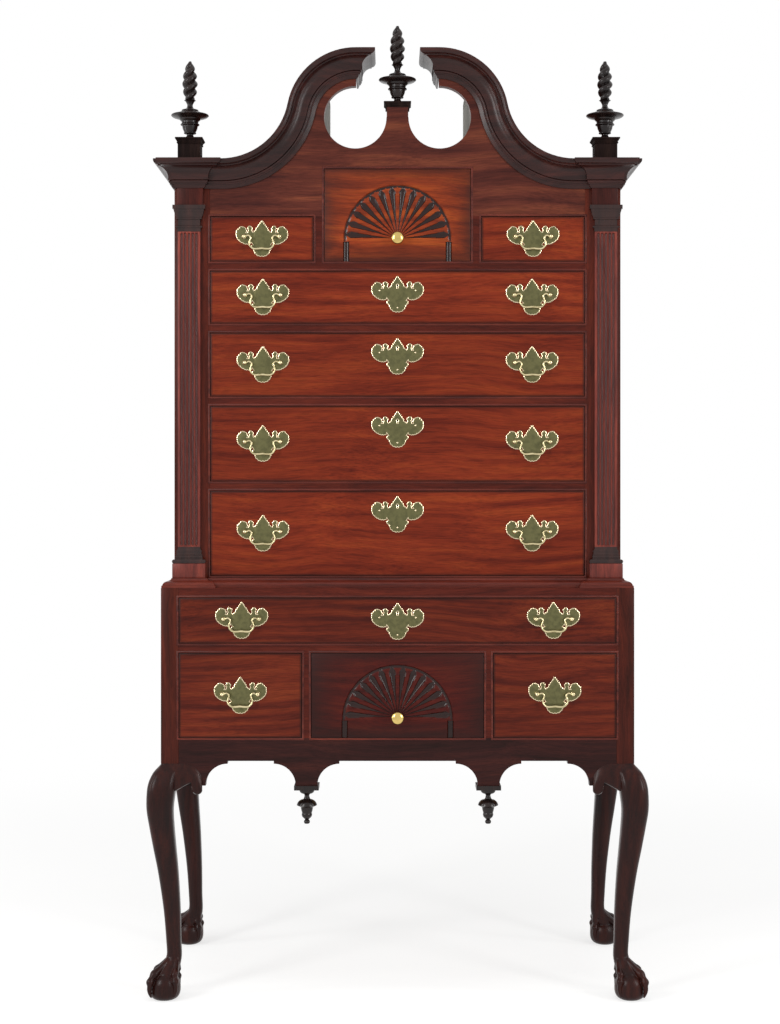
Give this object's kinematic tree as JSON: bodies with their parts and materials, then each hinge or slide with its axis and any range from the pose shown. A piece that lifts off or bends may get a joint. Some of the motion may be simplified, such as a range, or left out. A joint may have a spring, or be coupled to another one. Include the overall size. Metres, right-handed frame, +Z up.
{
  "type": "high chest of drawers",
  "caption": "Scroll-top high chest of drawers in two cases on cabriole legs with claw-and-ball feet, carved fan drawers, fluted pilasters and brass bail handles.",
  "frame": {"origin": "middle of the footprint, on the floor", "axes": "+Z up, -Y towards the front, +X to the right seen from the front"},
  "size_m": [1.1336, 0.588, 2.209],
  "materials": {
    "case_mahogany": "satin varnished mahogany, dark red brown",
    "front_mahogany": "satin varnished figured mahogany, warm red",
    "leg_mahogany": "satin varnished mahogany, deep brown",
    "moulding_mahogany": "satin varnished mahogany mouldings",
    "turned_mahogany": "near black varnished turnings",
    "poplar": "bare planed poplar, aged",
    "brass": "aged cast brass with bright bevelled edges"
  },
  "bodies": {
    "case": {"cabriole_legs": "leg_mahogany", "knee_blocks": "leg_mahogany", "skirt": "case_mahogany", "drop_pendants": "turned_mahogany", "lower_case_panels": "case_mahogany", "lower_rails_and_runners": "case_mahogany", "waist_moulding": "moulding_mahogany", "upper_case_panels": "case_mahogany", "upper_rails_and_runners": "case_mahogany", "pilasters": "case_mahogany", "tympanum": "case_mahogany", "cornice_and_scroll_mouldings": "moulding_mahogany", "finials": "turned_mahogany"},
    "top_left_drawer": {"top_left_drawer_front": "front_mahogany", "top_left_drawer_box": "poplar", "top_left_drawer_brasses": "brass"},
    "top_left_bail": {"top_left_bail": "brass"},
    "upper_fan_drawer": {"upper_fan_drawer_front": "front_mahogany", "upper_fan_drawer_box": "poplar", "upper_fan_drawer_knob": "brass"},
    "top_right_drawer": {"top_right_drawer_front": "front_mahogany", "top_right_drawer_box": "poplar", "top_right_drawer_brasses": "brass"},
    "top_right_bail": {"top_right_bail": "brass"},
    "first_long_drawer": {"first_long_drawer_front": "front_mahogany", "first_long_drawer_box": "poplar", "first_long_drawer_brasses": "brass"},
    "first_long_left_bail": {"first_long_left_bail": "brass"},
    "first_long_right_bail": {"first_long_right_bail": "brass"},
    "second_long_drawer": {"second_long_drawer_front": "front_mahogany", "second_long_drawer_box": "poplar", "second_long_drawer_brasses": "brass"},
    "second_long_left_bail": {"second_long_left_bail": "brass"},
    "second_long_right_bail": {"second_long_right_bail": "brass"},
    "third_long_drawer": {"third_long_drawer_front": "front_mahogany", "third_long_drawer_box": "poplar", "third_long_drawer_brasses": "brass"},
    "third_long_left_bail": {"third_long_left_bail": "brass"},
    "third_long_right_bail": {"third_long_right_bail": "brass"},
    "fourth_long_drawer": {"fourth_long_drawer_front": "front_mahogany", "fourth_long_drawer_box": "poplar", "fourth_long_drawer_brasses": "brass"},
    "fourth_long_left_bail": {"fourth_long_left_bail": "brass"},
    "fourth_long_right_bail": {"fourth_long_right_bail": "brass"},
    "base_long_drawer": {"base_long_drawer_front": "front_mahogany", "base_long_drawer_box": "poplar", "base_long_drawer_brasses": "brass"},
    "base_long_left_bail": {"base_long_left_bail": "brass"},
    "base_long_right_bail": {"base_long_right_bail": "brass"},
    "base_left_drawer": {"base_left_drawer_front": "front_mahogany", "base_left_drawer_box": "poplar", "base_left_drawer_brasses": "brass"},
    "base_left_bail": {"base_left_bail": "brass"},
    "lower_fan_drawer": {"lower_fan_drawer_front": "front_mahogany", "lower_fan_drawer_box": "poplar", "lower_fan_drawer_knob": "brass"},
    "base_right_drawer": {"base_right_drawer_front": "front_mahogany", "base_right_drawer_box": "poplar", "base_right_drawer_brasses": "brass"},
    "base_right_bail": {"base_right_bail": "brass"}
  },
  "joints": [
    {"name": "top_left_slide", "type": "slide", "parent": "case", "child": "top_left_drawer", "axis": [0, -1, 0], "range_m": [0, 0.34]},
    {"name": "top_left_bail_swing", "type": "hinge", "parent": "top_left_drawer", "child": "top_left_bail", "pos_m": [-0.30827, -0.233, 1.7215], "axis": [-1, 0, 0], "range_deg": [0, 170]},
    {"name": "upper_fan_slide", "type": "slide", "parent": "case", "child": "upper_fan_drawer", "axis": [0, -1, 0], "range_m": [0, 0.34]},
    {"name": "top_right_slide", "type": "slide", "parent": "case", "child": "top_right_drawer", "axis": [0, -1, 0], "range_m": [0, 0.34]},
    {"name": "top_right_bail_swing", "type": "hinge", "parent": "top_right_drawer", "child": "top_right_bail", "pos_m": [0.30827, -0.233, 1.7215], "axis": [-1, 0, 0], "range_deg": [0, 170]},
    {"name": "first_long_slide", "type": "slide", "parent": "case", "child": "first_long_drawer", "axis": [0, -1, 0], "range_m": [0, 0.34]},
    {"name": "first_long_left_bail_swing", "type": "hinge", "parent": "first_long_drawer", "child": "first_long_left_bail", "pos_m": [-0.306, -0.233, 1.589], "axis": [-1, 0, 0], "range_deg": [0, 170]},
    {"name": "first_long_right_bail_swing", "type": "hinge", "parent": "first_long_drawer", "child": "first_long_right_bail", "pos_m": [0.306, -0.233, 1.589], "axis": [-1, 0, 0], "range_deg": [0, 170]},
    {"name": "second_long_slide", "type": "slide", "parent": "case", "child": "second_long_drawer", "axis": [0, -1, 0], "range_m": [0, 0.34]},
    {"name": "second_long_left_bail_swing", "type": "hinge", "parent": "second_long_drawer", "child": "second_long_left_bail", "pos_m": [-0.306, -0.233, 1.4355], "axis": [-1, 0, 0], "range_deg": [0, 170]},
    {"name": "second_long_right_bail_swing", "type": "hinge", "parent": "second_long_drawer", "child": "second_long_right_bail", "pos_m": [0.306, -0.233, 1.4355], "axis": [-1, 0, 0], "range_deg": [0, 170]},
    {"name": "third_long_slide", "type": "slide", "parent": "case", "child": "third_long_drawer", "axis": [0, -1, 0], "range_m": [0, 0.34]},
    {"name": "third_long_left_bail_swing", "type": "hinge", "parent": "third_long_drawer", "child": "third_long_left_bail", "pos_m": [-0.306, -0.233, 1.256], "axis": [-1, 0, 0], "range_deg": [0, 170]},
    {"name": "third_long_right_bail_swing", "type": "hinge", "parent": "third_long_drawer", "child": "third_long_right_bail", "pos_m": [0.306, -0.233, 1.256], "axis": [-1, 0, 0], "range_deg": [0, 170]},
    {"name": "fourth_long_slide", "type": "slide", "parent": "case", "child": "fourth_long_drawer", "axis": [0, -1, 0], "range_m": [0, 0.34]},
    {"name": "fourth_long_left_bail_swing", "type": "hinge", "parent": "fourth_long_drawer", "child": "fourth_long_left_bail", "pos_m": [-0.306, -0.233, 1.052], "axis": [-1, 0, 0], "range_deg": [0, 170]},
    {"name": "fourth_long_right_bail_swing", "type": "hinge", "parent": "fourth_long_drawer", "child": "fourth_long_right_bail", "pos_m": [0.306, -0.233, 1.052], "axis": [-1, 0, 0], "range_deg": [0, 170]},
    {"name": "base_long_slide", "type": "slide", "parent": "case", "child": "base_long_drawer", "axis": [0, -1, 0], "range_m": [0, 0.36]},
    {"name": "base_long_left_bail_swing", "type": "hinge", "parent": "base_long_drawer", "child": "base_long_left_bail", "pos_m": [-0.351, -0.273, 0.85675], "axis": [-1, 0, 0], "range_deg": [0, 170]},
    {"name": "base_long_right_bail_swing", "type": "hinge", "parent": "base_long_drawer", "child": "base_long_right_bail", "pos_m": [0.351, -0.273, 0.85675], "axis": [-1, 0, 0], "range_deg": [0, 170]},
    {"name": "base_left_slide", "type": "slide", "parent": "case", "child": "base_left_drawer", "axis": [0, -1, 0], "range_m": [0, 0.36]},
    {"name": "base_left_bail_swing", "type": "hinge", "parent": "base_left_drawer", "child": "base_left_bail", "pos_m": [-0.354, -0.273, 0.688], "axis": [-1, 0, 0], "range_deg": [0, 170]},
    {"name": "lower_fan_slide", "type": "slide", "parent": "case", "child": "lower_fan_drawer", "axis": [0, -1, 0], "range_m": [0, 0.36]},
    {"name": "base_right_slide", "type": "slide", "parent": "case", "child": "base_right_drawer", "axis": [0, -1, 0], "range_m": [0, 0.36]},
    {"name": "base_right_bail_swing", "type": "hinge", "parent": "base_right_drawer", "child": "base_right_bail", "pos_m": [0.354, -0.273, 0.688], "axis": [-1, 0, 0], "range_deg": [0, 170]}
  ]
}
